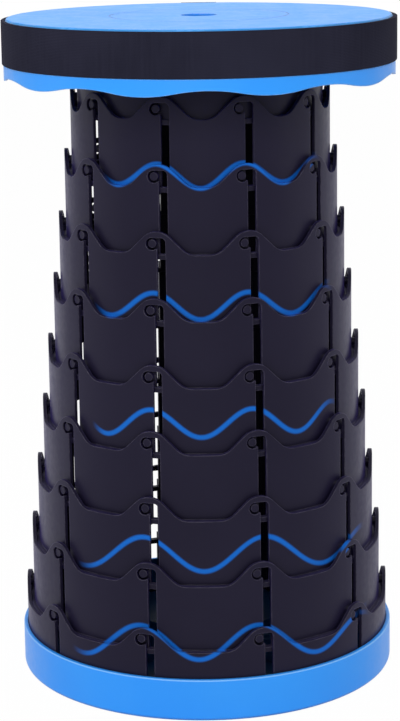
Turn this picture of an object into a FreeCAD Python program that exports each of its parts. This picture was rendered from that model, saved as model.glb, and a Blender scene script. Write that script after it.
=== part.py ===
import FreeCAD, Part
import math
import os
import re

import Sketcher

# Collapsible telescopic stool, standing extended and locked.
# Ten plastic rings nest inside each other like the tubes of a telescope. The outermost ring stands
# in a round base tray, and the innermost ring carries the seat. Each ring hangs from the ring
# around it by round pegs that sit in key-shaped slots under the crests of its wavy top edge.
# Units are millimetres. +Z is up, -Y is the front, and the origin is on the floor under the axis.

RING_COUNT = 10
FOOT_COUNT = 6

# Driving dimensions: name, value, meaning
SIZES = [
    ("foot_stand", 0.5, "height of the base underside above the floor"),
    ("foot_thickness", 2.0, "thickness of a rubber foot"),
    ("foot_radius", 11.0, "radius of a rubber foot"),
    ("foot_circle", 106.0, "radius of the circle that the feet stand on"),
    ("foot_clearance", 0.2, "side gap of a foot in its recess"),
    ("base_floor", 3.5, "thickness of the base floor"),
    ("base_wall", 2.8, "thickness of the base side wall"),
    ("base_height", 28.5, "height of the base tray"),
    ("base_corner", 3.0, "radius of the lower outer edge of the base"),
    ("base_rim_round", 0.9, "radius of the outer edge of the base rim"),
    ("base_fit", 0.3, "gap between the base wall and the outermost ring"),
    ("base_hub_radius", 16.0, "radius of the hub inside the base"),
    ("base_rib_reach", 72.0, "radius at which the base ribs end"),
    ("base_rib_wall", 2.0, "thickness of a base rib"),
    ("base_rib_height", 8.0, "height of the base ribs and hub"),
    ("outer_ring_radius", 126.0, "outer radius of the outermost ring"),
    ("radial_step", 4.8, "difference in radius from one ring to the next"),
    ("ring_wall", 2.3, "thickness of a ring wall"),
    ("ring_height", 57.6, "height of the outermost ring from its foot to its crests"),
    ("ring_pitch", 42.8, "height from one ring to the next, which is also the travel"),
    ("foot_lap", 3.6, "depth by which each other ring reaches below its seat line"),
    ("crest_count", 10, "number of crests round a ring"),
    ("wave_depth", 15.0, "height from the troughs to the crests"),
    ("wave_crest_radius", 13.0, "radius of the wavy edge at a crest"),
    ("wave_foot_radius", 13.0, "radius of the wavy edge at the foot of a crest"),
    ("wave_slope", 44.0, "steepest angle of the wavy edge, degrees"),
    ("flange_height", 3.2, "height of the guide flange at the foot of a ring"),
    ("running_clearance", 0.3, "gap between a sliding part and its guide"),
    ("stop_clearance", 0.3, "gap under a collapsed ring"),
    ("peg_radius", 2.7, "radius of a locking peg"),
    ("peg_reach", 1.1, "depth that a peg reaches into the next wall"),
    ("peg_root", 0.5, "depth that a peg is rooted in its own wall"),
    ("pocket_radius", 4.0, "radius of the pocket that holds a peg"),
    ("pocket_drop", 8.0, "height from the pocket centre up to the crest"),
    ("pocket_offset", 3.1, "distance of the pocket to the left of the crest"),
    ("pocket_lip", 40.0, "angle that the pocket floor rises beside the slot, degrees"),
    ("slot_offset", 3.3, "distance of the vertical slot to the right of the crest"),
    ("slot_width", 5.8, "width of the vertical slot"),
    ("slot_corner", 2.8, "radius of the upper corner of the slot"),
    ("crest_clearance", 0.4, "gap between the collapsed crests and the seat"),
    ("base_turn", 0.8, "angle that the base is turned to the left, degrees"),
    ("ring_twist", 0.2, "angle of each ring against the ring around it, degrees"),
    ("seat_turn", 1.0, "angle of the seat against the innermost ring, degrees"),
    ("seat_plate", 2.5, "thickness of the seat plate"),
    ("seat_edge_round", 1.2, "radius of the upper edge of the seat"),
    ("rim_inset", 1.8, "distance of the seat rim inside the strap seat"),
    ("rim_step_depth", 0.2, "depth of the step under the rim below the top of the strap"),
    ("skirt_clearance", 0.6, "gap between the seat skirt and the base when collapsed"),
    ("skirt_wall", 1.8, "thickness of the seat skirt"),
    ("skirt_ledge", 0.5, "width of the ledge under the strap"),
    ("skirt_drop", 39.0, "height from the seat underside to the lowest skirt edge"),
    ("skirt_wave_depth", 3.9, "height of the waves of the skirt edge"),
    ("strap_drop", 1.5, "distance of the strap below the seat top"),
    ("strap_width", 28.6, "width of the strap webbing"),
    ("strap_thickness", 1.3, "thickness of the strap webbing"),
    ("strap_clearance", 0.2, "gap between the strap and the seat"),
    ("slider_angle", 11.0, "angle that the strap slider covers, degrees"),
    ("slider_gap_angle", 0.3, "angle between the slider and a strap end, degrees"),
    ("slider_thickness", 2.0, "thickness of the strap slider"),
    ("slider_rail", 1.4, "width of the upper and lower rails of the slider"),
    ("slider_bar", 3.4, "width of the three upright bars of the slider"),
    ("circle_groove_radius", 60.0, "radius of the fine circle in the seat top"),
    ("circle_groove_width", 1.0, "width of the fine circle"),
    ("circle_groove_depth", 0.35, "depth of the fine circle"),
    ("cap_radius", 12.0, "radius of the centre cap"),
    ("cap_thickness", 1.4, "thickness of the centre cap"),
    ("cap_recess", 2.9, "depth of the recess for the centre cap"),
    ("cap_stem_radius", 3.0, "radius of the cap stem"),
    ("cap_stem_length", 9.0, "length of the cap stem"),
    ("cap_clearance", 0.2, "gap round the cap and its stem"),
    ("hub_radius", 14.0, "radius of the hub under the seat"),
    ("hub_height", 10.0, "height of the hub under the seat"),
    ("spigot_wall", 2.5, "thickness of the collar inside the innermost ring"),
    ("spigot_height", 8.0, "height of the collar"),
    ("spigot_clearance", 0.2, "gap between the collar and the ring"),
    ("seat_rib_wall", 1.8, "thickness of a seat rib"),
    ("seat_rib_depth", 8.0, "depth of a seat rib"),
    ("boss_radius", 4.5, "radius of a screw boss"),
    ("boss_height", 12.0, "height of a screw boss"),
    ("shelf_thickness", 3.0, "thickness of the screw shelf in the innermost ring"),
    ("shelf_radius", 61.0, "inner radius of the screw shelf"),
    ("screw_circle", 68.0, "radius of the circle of screws"),
    ("screw_count", 5, "number of seat screws"),
    ("screw_shank_radius", 1.9, "radius of a screw shank"),
    ("screw_grip", 7.0, "length of a screw inside its boss"),
    ("screw_head_radius", 4.0, "radius of a screw head"),
    ("screw_head_height", 2.4, "height of a screw head"),
    ("screw_socket_radius", 1.7, "radius of the socket in a screw head"),
    ("screw_socket_depth", 1.3, "depth of the socket in a screw head"),
    ("screw_fit", 0.05, "gap round a screw in its boss"),
    ("screw_clearance", 0.3, "gap round a screw in the shelf"),
]
ALIASES = {name for name, value, meaning in SIZES}

# Cutters run past the faces that they cut by this much
OVERCUT = 1.0

# Lengths worked out from the driving dimensions, as expressions
HALF_PERIOD = "(180 / crest_count)"
SECTOR_ANGLE = "(360 / crest_count)"
BASE_TURN = f"({HALF_PERIOD} - 90 - base_turn)"
SEAT_TURN = f"({BASE_TURN} + {RING_COUNT - 1} * ring_twist + seat_turn)"
FLOOR_TOP = "(foot_stand + base_floor)"
BASE_BORE = "(outer_ring_radius + base_fit)"
BASE_RADIUS = f"({BASE_BORE} + base_wall)"
INNER_RING_RADIUS = f"(outer_ring_radius - {RING_COUNT - 1} * radial_step)"
INNER_RING_BORE = f"({INNER_RING_RADIUS} - ring_wall)"
INNER_RING_HEIGHT = "(ring_height + crest_clearance)"
SEAT_UNDERSIDE = (
    f"({FLOOR_TOP} + stop_clearance + {RING_COUNT - 1} * ring_pitch + {INNER_RING_HEIGHT})"
)
SKIRT_BORE = f"({BASE_RADIUS} + skirt_clearance)"
SKIRT_RADIUS = f"({SKIRT_BORE} + skirt_wall)"
SEAT_RADIUS = f"({SKIRT_RADIUS} - skirt_ledge)"
STRAP_BORE = f"({SEAT_RADIUS} + strap_clearance)"
STRAP_TOP = "(seat_plate - strap_drop)"
STRAP_FOOT = f"({STRAP_TOP} - strap_width)"
SLIDER_BORE = f"({SKIRT_RADIUS} + strap_clearance)"
CAP_BORE = "(cap_stem_radius + cap_clearance)"
PEG_HEIGHT = "(ring_height - ring_pitch - pocket_drop)"
SHELF_TOP = f"({INNER_RING_HEIGHT} - boss_height)"

document = FreeCAD.newDocument("TelescopicStool")
parts = []


def make_sheet():
    """Write the driving dimensions to a spreadsheet, one named cell each."""
    sheet = document.addObject("Spreadsheet::Sheet", "Sizes")
    for row, (name, value, meaning) in enumerate(SIZES, start=1):
        sheet.set(f"A{row}", meaning)
        sheet.set(f"B{row}", str(value))
        sheet.setAlias(f"B{row}", name)
    document.recompute()
    return sheet


def bound(text):
    """Turn the names in a formula into references to the spreadsheet."""
    return re.sub(
        r"[a-z_]+", lambda word: f"Sizes.{word[0]}" if word[0] in ALIASES else word[0], str(text)
    )


def number(text):
    """Work out a formula with the spreadsheet's present values."""
    return float(sheet.evalExpression(bound(text)))


def new_body(label, height="0", turn="0"):
    """Make a body that stands at a height and is turned about the vertical axis."""
    body = document.addObject("PartDesign::Body", label)
    body.Label = label
    body.Placement = FreeCAD.Placement(
        FreeCAD.Vector(0, 0, number(height)), FreeCAD.Rotation(FreeCAD.Vector(0, 0, 1), number(turn))
    )
    body.setExpression("Placement.Base.z", bound(height))
    body.setExpression("Placement.Rotation.Angle", bound(turn))
    parts.append(body)
    return body


def origin_feature(body, role):
    """Find a plane or an axis of a body's own origin."""
    return next(item for item in body.Origin.OriginFeatures if item.Role == role)


def new_sketch(body, name, plane="YZ_Plane", offset="0"):
    """Attach an empty sketch to a plane of the body, moved along the plane's normal.

    A sketch on the YZ plane sees a crest from outside: its x runs to the right, its y up.
    """
    sketch = body.newObject("Sketcher::SketchObject", name)
    sketch.AttachmentSupport = [(origin_feature(body, plane), "")]
    sketch.MapMode = "FlatFace"
    sketch.AttachmentOffset = FreeCAD.Placement(
        FreeCAD.Vector(0, 0, number(offset)), FreeCAD.Rotation()
    )
    if offset != "0":
        sketch.setExpression("AttachmentOffset.Base.z", bound(offset))
    return sketch


def bind_constraint(sketch, *description):
    """Add a dimension whose last entry is a formula, and bind it to the spreadsheet."""
    *geometry, formula = description
    index = sketch.addConstraint(Sketcher.Constraint(*geometry, number(formula)))
    sketch.setExpression(f"Constraints[{index}]", bound(formula))


def arc_between(start, end, radius, turn):
    """Give the arc of under half a circle from start to end that turns left (1) or right (-1)."""
    chord = end - start
    middle = (start + end) / 2
    rise = math.sqrt(max(radius**2 - (chord.Length / 2) ** 2, 0))
    normal = FreeCAD.Vector(-chord.y, chord.x, 0).normalize()
    centre = middle + normal * rise * turn
    circle = Part.Circle(centre, FreeCAD.Vector(0, 0, 1), radius)
    first, last = (start, end) if turn > 0 else (end, start)
    angles = [math.atan2(point.y - centre.y, point.x - centre.x) for point in (first, last)]
    return Part.ArcOfCircle(circle, angles[0], angles[1])


def add_outline(sketch, corners):
    """Draw a closed outline.

    Each corner is (x, y) for a straight edge to the next corner, or (x, y, radius, turn) for
    an arc to it, with formulas for the lengths.
    """
    points = [FreeCAD.Vector(number(corner[0]), number(corner[1]), 0) for corner in corners]
    ends = []
    for index, corner in enumerate(corners):
        start = points[index]
        end = points[(index + 1) % len(points)]
        if len(corner) == 2:
            edge = sketch.addGeometry(Part.LineSegment(start, end), False)
            ends.append((edge, 1, 2))
            continue
        edge = sketch.addGeometry(arc_between(start, end, number(corner[2]), corner[3]), False)
        ends.append((edge, 1, 2) if corner[3] > 0 else (edge, 2, 1))
    for index, (edge, first, last) in enumerate(ends):
        next_edge, next_first, next_last = ends[(index + 1) % len(ends)]
        sketch.addConstraint(Sketcher.Constraint("Coincident", edge, last, next_edge, next_first))
    for index, corner in enumerate(corners):
        edge, first, last = ends[index]
        bind_constraint(sketch, "DistanceX", -1, 1, edge, first, corner[0])
        bind_constraint(sketch, "DistanceY", -1, 1, edge, first, corner[1])
        if len(corner) == 4:
            bind_constraint(sketch, "Radius", edge, corner[2])


def add_circle(sketch, x, y, radius):
    """Draw a circle with formulas for its centre and radius."""
    centre = FreeCAD.Vector(number(x), number(y), 0)
    circle = Part.Circle(centre, FreeCAD.Vector(0, 0, 1), number(radius))
    edge = sketch.addGeometry(circle, False)
    bind_constraint(sketch, "DistanceX", -1, 1, edge, 3, x)
    bind_constraint(sketch, "DistanceY", -1, 1, edge, 3, y)
    bind_constraint(sketch, "Radius", edge, radius)


def revolve(body, name, corners, angle="360", kind="Revolution", symmetric=False):
    """Turn a section, given as radius and height, about the vertical axis."""
    sketch = new_sketch(body, f"{name}Section", plane="XZ_Plane")
    add_outline(sketch, corners)
    feature = body.newObject(f"PartDesign::{kind}", name)
    feature.Profile = sketch
    feature.ReferenceAxis = (sketch, ["V_Axis"])
    feature.Midplane = symmetric
    feature.Angle = number(angle)
    feature.setExpression("Angle", bound(angle))
    sketch.Visibility = False
    return feature


def extrude(body, name, sketch, length, cut=False, reverse=False):
    """Raise a pad from a sketch, or cut a pocket, along the sketch's normal or against it."""
    feature = body.newObject("PartDesign::Pocket" if cut else "PartDesign::Pad", name)
    feature.Profile = sketch
    feature.Length = number(length)
    feature.setExpression("Length", bound(length))
    feature.Reversed = reverse != cut
    sketch.Visibility = False
    return feature


def repeat(body, name, count, features=None):
    """Repeat features, or the whole body so far, evenly round the vertical axis."""
    if features is None:
        document.recompute()
    pattern = body.newObject("PartDesign::PolarPattern", name)
    if features is None:
        pattern.TransformMode = "Whole shape"
    else:
        pattern.Originals = features
    pattern.Axis = (origin_feature(body, "Z_Axis"), [""])
    pattern.Angle = 360
    pattern.Occurrences = int(number(count))
    pattern.setExpression("Occurrences", bound(count))
    body.Tip = pattern
    return pattern


def wave_corners(radius):
    """Outline of the space above one crest: a bell-shaped edge between two flat troughs."""
    trough = "(ring_height - wave_depth)"
    bends = "(wave_crest_radius + wave_foot_radius)"
    edge = f"({radius} * sin({HALF_PERIOD}) + {OVERCUT})"
    bell = (
        f"({bends} * sin(wave_slope)"
        f" + (wave_depth - {bends} * (1 - cos(wave_slope))) / tan(wave_slope))"
    )
    foot_end = f"({bell} - wave_foot_radius * sin(wave_slope))"
    foot_top = f"({trough} + wave_foot_radius * (1 - cos(wave_slope)))"
    crest_end = "(wave_crest_radius * sin(wave_slope))"
    crest_start = "(ring_height - wave_crest_radius * (1 - cos(wave_slope)))"
    lid = f"(ring_height + {2 * OVERCUT})"
    return [
        (f"-{edge}", trough),
        (f"-{bell}", trough, "wave_foot_radius", 1),
        (f"-{foot_end}", foot_top),
        (f"-{crest_end}", crest_start, "wave_crest_radius", -1),
        (crest_end, crest_start),
        (foot_end, foot_top, "wave_foot_radius", 1),
        (bell, trough),
        (edge, trough),
        (edge, lid),
        (f"-{edge}", lid),
    ]


def key_slot_corners(foot):
    """Outline of the key-shaped slot: a round pocket at the left, open to an upright slot."""
    centre = "(ring_height - pocket_drop)"
    roof = f"({centre} + pocket_radius)"
    ledge = f"({centre} - pocket_radius * cos(pocket_lip))"
    left = "(slot_offset - slot_width / 2)"
    right = "(slot_offset + slot_width / 2)"
    return [
        ("-pocket_offset + pocket_radius * sin(pocket_lip)", ledge, "pocket_radius", -1),
        ("-pocket_offset - pocket_radius", centre, "pocket_radius", -1),
        ("-pocket_offset", roof),
        (f"{right} - slot_corner", roof, "slot_corner", -1),
        (right, f"{roof} - slot_corner"),
        (right, f"{foot} + flange_height"),
        (left, f"{foot} + flange_height"),
        (left, ledge),
    ]


def add_peg(body, radius, next_bore, twist):
    """Peg that stands out of a ring near its foot and reaches into the wall around it.

    It is set back by the ring's own twist, so that it meets the pocket of the wall around it.
    """
    root = f"({radius} - peg_root)"
    sketch = new_sketch(body, "PegFace", offset=root)
    add_circle(sketch, f"-pocket_offset - {next_bore} * sin({twist})", PEG_HEIGHT, "peg_radius")
    extrude(body, "Peg", sketch, f"{next_bore} + peg_reach - {root}")


def add_wave_and_slots(body, radius, bore, foot):
    """Wavy edge, key slot, and blind guide inside the wall for the peg of the next ring in."""
    wave = new_sketch(body, "WaveEdge")
    add_outline(wave, wave_corners(radius))
    extrude(body, "WaveCut", wave, f"{radius} + {OVERCUT}", cut=True)

    key_slot = new_sketch(body, "KeySlot")
    add_outline(key_slot, key_slot_corners(foot))
    extrude(body, "SlotCut", key_slot, f"{radius} + {OVERCUT}", cut=True)

    guide = new_sketch(body, "PegGuide")
    half_width = "(peg_radius + running_clearance)"
    add_outline(
        guide,
        [
            (f"-pocket_offset - {half_width}", f"{foot} - {OVERCUT}"),
            (f"-pocket_offset + {half_width}", f"{foot} - {OVERCUT}"),
            (f"-pocket_offset + {half_width}", "ring_height - pocket_drop"),
            (f"-pocket_offset - {half_width}", "ring_height - pocket_drop"),
        ],
    )
    extrude(body, "GuideCut", guide, f"{bore} + peg_reach + running_clearance", cut=True)


def make_ring(place):
    """One telescoping ring, made of equal sectors. Ring 1 is the innermost and carries the seat.

    Its height zero is the line by which it is set one pitch above the next ring.
    """
    steps = RING_COUNT - place
    innermost = place == 1
    outermost = place == RING_COUNT
    radius = f"(outer_ring_radius - {steps} * radial_step)"
    bore = f"({radius} - ring_wall)"
    next_bore = BASE_BORE if outermost else f"({radius} + radial_step - ring_wall)"
    height = INNER_RING_HEIGHT if innermost else f"(ring_height + {OVERCUT})"
    seat_line = FLOOR_TOP if outermost else f"({FLOOR_TOP} + stop_clearance + {steps} * ring_pitch)"
    foot = "0" if outermost else "(-foot_lap)"
    twist = "0" if outermost else "ring_twist"

    body = new_body(f"ring_{place}", height=seat_line, turn=f"{BASE_TURN} + {steps} * ring_twist")
    section = [(bore, foot), (radius, foot), (radius, height), (bore, height)]
    if not outermost:
        flange = f"({next_bore} - running_clearance)"
        flange_top = f"({foot} + flange_height)"
        section[1:2] = [(flange, foot), (flange, flange_top), (radius, flange_top)]
    revolve(body, "Wall", section, angle=SECTOR_ANGLE, symmetric=True)
    add_peg(body, radius, next_bore, twist)
    if not innermost:
        add_wave_and_slots(body, radius, bore, foot)
    repeat(body, "Sectors", "crest_count")
    if innermost:
        add_screw_shelf(body, bore)


def add_screw_shelf(body, bore):
    """Shelf inside the innermost ring that the seat bosses stand on, with the screw holes."""
    shelf_foot = f"({SHELF_TOP} - shelf_thickness)"
    root = f"({bore} + ring_wall / 2)"
    section = [
        ("shelf_radius", shelf_foot),
        (root, shelf_foot),
        (root, SHELF_TOP),
        ("shelf_radius", SHELF_TOP),
    ]
    revolve(body, "Shelf", section)
    holes = new_sketch(body, "ShelfHole", plane="XY_Plane", offset=SHELF_TOP)
    add_circle(holes, *screw_place("seat_turn"), "screw_shank_radius + screw_clearance")
    hole_cut = extrude(body, "ShelfHoleCut", holes, f"shelf_thickness + {OVERCUT}", cut=True, reverse=True)
    repeat(body, "HolesRound", "screw_count", [hole_cut])


def screw_place(turn="0"):
    """Place of the first screw, half way between two seat ribs, seen from a body turned back."""
    angle = f"({HALF_PERIOD} + {turn})"
    return f"screw_circle * cos{angle}", f"screw_circle * sin{angle}"


def make_base():
    """Round tray that holds the outermost ring and stands on rubber feet."""
    body = new_body("base_tray", turn=BASE_TURN)
    rim = "(foot_stand + base_height)"
    section = [
        ("0", "foot_stand"),
        (f"{BASE_RADIUS} - base_corner", "foot_stand", "base_corner", 1),
        (BASE_RADIUS, "foot_stand + base_corner"),
        (BASE_RADIUS, f"{rim} - base_rim_round", "base_rim_round", 1),
        (f"{BASE_RADIUS} - base_rim_round", rim),
        (BASE_BORE, rim),
        (BASE_BORE, FLOOR_TOP),
        ("base_hub_radius", FLOOR_TOP),
        ("base_hub_radius", f"{FLOOR_TOP} + base_rib_height"),
        ("0", f"{FLOOR_TOP} + base_rib_height"),
    ]
    revolve(body, "Tray", section, angle=SECTOR_ANGLE, symmetric=True)

    rib = new_sketch(body, "RibPlan", plane="XY_Plane", offset=FLOOR_TOP)
    add_bar(rib, "base_hub_radius / 2", "base_rib_reach", "base_rib_wall")
    extrude(body, "Rib", rib, "base_rib_height")
    socket = new_sketch(body, "PegSocket")
    add_circle(socket, "-pocket_offset", f"{FLOOR_TOP} + {PEG_HEIGHT}", "peg_radius + running_clearance")
    socket_depth = f"{BASE_BORE} + peg_reach + running_clearance"
    extrude(body, "PegSocketCut", socket, socket_depth, cut=True)
    repeat(body, "Sectors", "crest_count")

    recess = new_sketch(body, "FootRecess", plane="XY_Plane")
    add_circle(recess, "foot_circle", "0", "foot_radius + foot_clearance")
    recess_cut = extrude(body, "FootRecessCut", recess, "foot_thickness", cut=True)
    repeat(body, "FeetRound", FOOT_COUNT, [recess_cut])


def add_bar(sketch, start, end, width):
    """Draw a bar along the radius of the part."""
    add_outline(
        sketch,
        [
            (start, f"-{width} / 2"),
            (end, f"-{width} / 2"),
            (end, f"{width} / 2"),
            (start, f"{width} / 2"),
        ],
    )


def make_foot(place):
    """One rubber foot, a plain disc pressed into its recess under the base."""
    foot = document.addObject("Part::Cylinder", f"foot_pad_{place}")
    foot.Label = f"foot_pad_{place}"
    foot.setExpression("Radius", bound("foot_radius"))
    foot.setExpression("Height", bound("foot_thickness"))
    angle = f"({BASE_TURN} + {360 / FOOT_COUNT * (place - 1)})"
    foot.setExpression("Placement.Base.x", bound(f"foot_circle * cos({angle})"))
    foot.setExpression("Placement.Base.y", bound(f"foot_circle * sin({angle})"))
    parts.append(foot)


def make_seat():
    """Seat: a round plate with a skirt whose lower edge is wavy, ribbed inside the inner ring."""
    body = new_body("seat_shell", height=SEAT_UNDERSIDE, turn=SEAT_TURN)
    collar = f"({INNER_RING_BORE} - spigot_clearance)"
    collar_bore = f"({collar} - spigot_wall)"
    ledge = f"({STRAP_FOOT} - strap_clearance)"
    rim = f"({SEAT_RADIUS} - rim_inset)"
    step = f"({STRAP_TOP} - rim_step_depth)"
    cap_rim = "(cap_radius + cap_clearance)"
    section = [
        (CAP_BORE, "-hub_height"),
        ("hub_radius", "-hub_height"),
        ("hub_radius", "0"),
        (collar_bore, "0"),
        (collar_bore, "-spigot_height"),
        (collar, "-spigot_height"),
        (collar, "0"),
        (SKIRT_BORE, "0"),
        (SKIRT_BORE, "-skirt_drop"),
        (SKIRT_RADIUS, "-skirt_drop"),
        (SKIRT_RADIUS, ledge),
        (SEAT_RADIUS, ledge),
        (SEAT_RADIUS, step),
        (rim, step),
        (rim, "seat_plate - seat_edge_round", "seat_edge_round", 1),
        (f"{rim} - seat_edge_round", "seat_plate"),
        (cap_rim, "seat_plate"),
        (cap_rim, "seat_plate - cap_recess"),
        (CAP_BORE, "seat_plate - cap_recess"),
    ]
    revolve(body, "Shell", section, angle=SECTOR_ANGLE, symmetric=True)

    skirt_edge = new_sketch(body, "SkirtEdge")
    add_outline(skirt_edge, skirt_wave_corners())
    extrude(body, "SkirtWaveCut", skirt_edge, f"{SKIRT_RADIUS} + {OVERCUT}", cut=True)
    rib = new_sketch(body, "SeatRibPlan", plane="XY_Plane")
    add_bar(rib, "hub_radius - seat_rib_wall", f"{collar_bore} + spigot_wall / 2", "seat_rib_wall")
    extrude(body, "SeatRib", rib, "seat_rib_depth", reverse=True)
    repeat(body, "Sectors", "crest_count")
    add_fine_circle(body)

    boss = new_sketch(body, "BossPlan", plane="XY_Plane")
    add_circle(boss, *screw_place(), "boss_radius")
    boss_pad = extrude(body, "Boss", boss, "boss_height", reverse=True)
    bore = new_sketch(body, "BossBore", plane="XY_Plane", offset="-boss_height")
    add_circle(bore, *screw_place(), "screw_shank_radius + screw_fit")
    bore_cut = extrude(body, "BossBoreCut", bore, f"screw_grip + {OVERCUT}", cut=True)
    repeat(body, "BossesRound", "screw_count", [boss_pad, bore_cut])


def skirt_wave_corners():
    """Outline of the space below one wave of the skirt: low at the middle, high at the ends."""
    half = f"({SKIRT_RADIUS} * sin({HALF_PERIOD}))"
    low = "(-skirt_drop)"
    high = f"({low} + skirt_wave_depth)"
    middle = f"({low} + skirt_wave_depth / 2)"
    bend = f"(({half} * {half} / 4 + skirt_wave_depth * skirt_wave_depth / 4) / skirt_wave_depth)"
    return [
        (f"-{half} - {OVERCUT}", high),
        (f"-{half}", high, bend, -1),
        (f"-{half} / 2", middle, bend, 1),
        ("0", low, bend, 1),
        (f"{half} / 2", middle, bend, -1),
        (half, high),
        (f"{half} + {OVERCUT}", high),
        (f"{half} + {OVERCUT}", f"{low} - {OVERCUT}"),
        (f"-{half} - {OVERCUT}", f"{low} - {OVERCUT}"),
    ]


def add_fine_circle(body):
    """Shallow circular line in the seat top."""
    inner = "(circle_groove_radius - circle_groove_width / 2)"
    outer = "(circle_groove_radius + circle_groove_width / 2)"
    section = [
        (inner, "seat_plate - circle_groove_depth"),
        (outer, "seat_plate - circle_groove_depth"),
        (outer, f"seat_plate + {OVERCUT}"),
        (inner, f"seat_plate + {OVERCUT}"),
    ]
    revolve(body, "FineCircle", section, kind="Groove")


def make_cap():
    """Centre cap with a stem that plugs into the hub of the seat."""
    floor = "(seat_plate - cap_recess)"
    body = new_body("seat_centre_cap", height=SEAT_UNDERSIDE)
    section = [
        ("0", f"{floor} - cap_stem_length"),
        ("cap_stem_radius", f"{floor} - cap_stem_length"),
        ("cap_stem_radius", floor),
        ("cap_radius", floor),
        ("cap_radius", f"{floor} + cap_thickness"),
        ("0", f"{floor} + cap_thickness"),
    ]
    revolve(body, "Cap", section)


def make_screws():
    """Screws that hold the seat bosses down on the shelf of the innermost ring."""
    shelf_foot = "(-boss_height - shelf_thickness)"
    body = new_body("seat_screws", height=SEAT_UNDERSIDE, turn=SEAT_TURN)
    head = new_sketch(body, "HeadPlan", plane="XY_Plane", offset=shelf_foot)
    add_circle(head, *screw_place(), "screw_head_radius")
    head_pad = extrude(body, "Head", head, "screw_head_height", reverse=True)
    shank = new_sketch(body, "ShankPlan", plane="XY_Plane", offset=shelf_foot)
    add_circle(shank, *screw_place(), "screw_shank_radius")
    shank_pad = extrude(body, "Shank", shank, "shelf_thickness + screw_grip")
    head_foot = f"({shelf_foot} - screw_head_height)"
    socket = new_sketch(body, "SocketPlan", plane="XY_Plane", offset=head_foot)
    add_circle(socket, *screw_place(), "screw_socket_radius")
    socket_cut = extrude(body, "Socket", socket, "screw_socket_depth", cut=True)
    repeat(body, "ScrewsRound", "screw_count", [head_pad, shank_pad, socket_cut])


def make_strap():
    """Webbing strap round the side of the seat, open at the back where the slider joins it."""
    body = new_body("strap_webbing", height=SEAT_UNDERSIDE, turn="270")
    outer = f"({STRAP_BORE} + strap_thickness)"
    section = [
        (STRAP_BORE, STRAP_FOOT),
        (outer, STRAP_FOOT),
        (outer, STRAP_TOP),
        (STRAP_BORE, STRAP_TOP),
    ]
    angle = "360 - slider_angle - 2 * slider_gap_angle"
    revolve(body, "Band", section, angle=angle, symmetric=True)


def make_slider():
    """Slider at the back of the strap: a curved plate with two windows for the webbing."""
    body = new_body("strap_slider", height=SEAT_UNDERSIDE, turn="90")
    outer = f"({SLIDER_BORE} + slider_thickness)"
    foot = f"({STRAP_FOOT} - slider_rail)"
    head = f"({STRAP_TOP} + slider_rail)"
    section = [(SLIDER_BORE, foot), (outer, foot), (outer, head), (SLIDER_BORE, head)]
    revolve(body, "Plate", section, angle="slider_angle", symmetric=True)

    half_width = f"({SLIDER_BORE} * sin(slider_angle / 2))"
    windows = new_sketch(body, "Windows", plane="YZ_Plane")
    for near, far in (
        ("slider_bar / 2", f"{half_width} - slider_bar"),
        (f"-{half_width} + slider_bar", "-slider_bar / 2"),
    ):
        add_outline(
            windows,
            [
                (near, STRAP_FOOT),
                (far, STRAP_FOOT),
                (far, STRAP_TOP),
                (near, STRAP_TOP),
            ],
        )
    extrude(body, "WindowsCut", windows, f"{outer} + {OVERCUT}", cut=True)


def check_and_export():
    """Stop on a failed feature or a bad solid, then write one STEP file for each sub-part."""
    document.recompute()
    failed = [item.Label for item in document.Objects if {"Invalid", "Error"} & set(item.State)]
    if failed:
        raise RuntimeError(f"failed features: {failed}")
    os.makedirs("parts", exist_ok=True)
    for part in parts:
        shape = part.Shape
        if shape.isNull() or not shape.isValid() or not shape.Solids:
            raise RuntimeError(f"bad shape: {part.Label}")
        shape.exportStep(f"parts/{part.Label}.step")
        box = shape.BoundBox
        print(
            f"{part.Label}: {len(shape.Solids)} solid(s), {shape.Volume / 1000:.2f} cm3,"
            f" z {box.ZMin:.2f} to {box.ZMax:.2f}, reach {box.XMax:.2f}"
        )


sheet = make_sheet()
make_base()
for foot_place in range(1, FOOT_COUNT + 1):
    make_foot(foot_place)
for ring_place in range(1, RING_COUNT + 1):
    make_ring(ring_place)
make_seat()
make_cap()
make_screws()
make_strap()
make_slider()
check_and_export()
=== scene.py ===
import logging
import math
from dataclasses import dataclass, field, replace
from enum import Enum

import bpy
from mathutils import Matrix, Vector


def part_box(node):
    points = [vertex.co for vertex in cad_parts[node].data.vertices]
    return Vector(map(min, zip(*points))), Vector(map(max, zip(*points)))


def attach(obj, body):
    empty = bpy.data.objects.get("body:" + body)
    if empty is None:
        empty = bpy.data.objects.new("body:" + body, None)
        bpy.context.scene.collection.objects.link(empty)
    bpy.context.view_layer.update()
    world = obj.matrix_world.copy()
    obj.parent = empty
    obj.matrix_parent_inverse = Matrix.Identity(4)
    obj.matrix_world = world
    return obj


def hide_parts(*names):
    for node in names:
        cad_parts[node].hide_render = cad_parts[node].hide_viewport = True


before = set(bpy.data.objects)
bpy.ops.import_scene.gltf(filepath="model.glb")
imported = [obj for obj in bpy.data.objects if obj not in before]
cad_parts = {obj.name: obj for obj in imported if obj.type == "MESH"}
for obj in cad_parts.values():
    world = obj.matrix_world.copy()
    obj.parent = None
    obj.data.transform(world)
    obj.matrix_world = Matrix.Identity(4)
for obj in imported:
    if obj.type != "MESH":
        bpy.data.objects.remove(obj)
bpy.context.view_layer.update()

LOG = logging.getLogger("telescopic_stool")

PHOTO_WIDTH = 400
PHOTO_HEIGHT = 721
RING_COUNT = 10
CREST_COUNT = 10
FOOT_COUNT = 6
MM = 0.001

Colour = tuple[float, float, float]
Triple = tuple[float, float, float]
Pair = tuple[float, float]
Socket = bpy.types.NodeSocket
Source = Socket | float

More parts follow.
